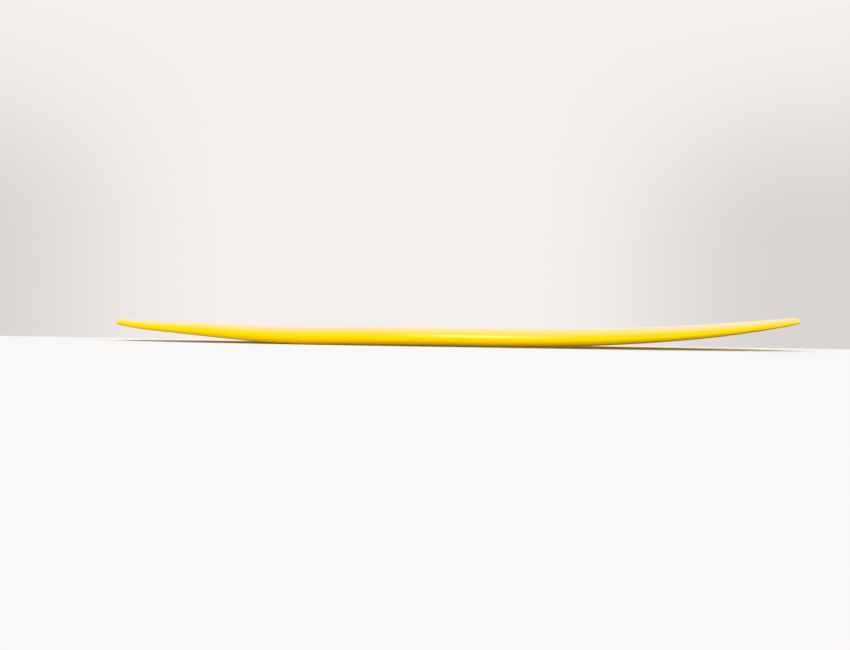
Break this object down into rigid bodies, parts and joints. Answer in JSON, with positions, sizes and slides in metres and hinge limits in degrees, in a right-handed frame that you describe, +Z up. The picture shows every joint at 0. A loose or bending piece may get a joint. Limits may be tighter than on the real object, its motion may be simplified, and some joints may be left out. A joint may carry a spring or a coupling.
{
  "type": "surfboard",
  "caption": "Longboard surfboard with a foam core, wooden stringer, glossy yellow laminates, and slotted fin fittings and a leash plug let into its tail.",
  "frame": {"origin": "on the flat bottom, under the middle of the board's box", "axes": "+X towards the nose, +Y towards the left rail seen from the tail, +Z up out of the deck"},
  "size_m": [2.743, 0.572, 0.1335],
  "materials": {
    "foam": "matte",
    "stringer_wood": "satin",
    "yellow_laminate": "gloss",
    "glass_cloth": "satin",
    "fitting_plastic": "satin",
    "stainless": "satin"
  },
  "bodies": {
    "board": {"foam_left": "foam", "foam_right": "foam", "stringer": "stringer_wood", "bottom_laminate": "yellow_laminate", "deck_inner_cloth": "glass_cloth", "deck_laminate": "yellow_laminate", "fin_box_patch": "glass_cloth", "fin_box": "fitting_plastic", "leash_cup": "fitting_plastic", "leash_pin": "stainless", "side_plug_left_front": "fitting_plastic", "side_plug_left_rear": "fitting_plastic", "side_plug_right_front": "fitting_plastic", "side_plug_right_rear": "fitting_plastic"},
    "plate_nut": {"fin_plate_nut": "stainless"},
    "fin_screw": {"fin_screw": "stainless"},
    "grub_left_front": {"grub_screw_left_front": "stainless"},
    "grub_left_rear": {"grub_screw_left_rear": "stainless"},
    "grub_right_front": {"grub_screw_right_front": "stainless"},
    "grub_right_rear": {"grub_screw_right_rear": "stainless"}
  },
  "joints": [
    {"name": "plate_slide", "type": "slide", "parent": "board", "child": "plate_nut", "axis": [0.9964, 0, -0.0854], "range_m": [-0.18, 0.06]},
    {"name": "fin_screw_turn", "type": "hinge", "parent": "plate_nut", "child": "fin_screw", "pos_m": [-0.99279, 0, 0.03074], "axis": [-0.0854, 0, -0.9964], "range_deg": [-1440, 1440]},
    {"name": "grub_turn_left_front", "type": "hinge", "parent": "board", "child": "grub_left_front", "pos_m": [-1.00609, 0.14273, 0.03123], "axis": [-0.0629, 0.3743, -0.9252], "range_deg": [-720, 1440]},
    {"name": "grub_turn_left_rear", "type": "hinge", "parent": "board", "child": "grub_left_rear", "pos_m": [-1.06581, 0.14534, 0.03635], "axis": [-0.0629, 0.3743, -0.9252], "range_deg": [-720, 1440]},
    {"name": "grub_turn_right_front", "type": "hinge", "parent": "board", "child": "grub_right_front", "pos_m": [-1.00609, -0.14273, 0.03123], "axis": [-0.0629, -0.3743, -0.9252], "range_deg": [-720, 1440]},
    {"name": "grub_turn_right_rear", "type": "hinge", "parent": "board", "child": "grub_right_rear", "pos_m": [-1.06581, -0.14534, 0.03635], "axis": [-0.0629, -0.3743, -0.9252], "range_deg": [-720, 1440]}
  ]
}
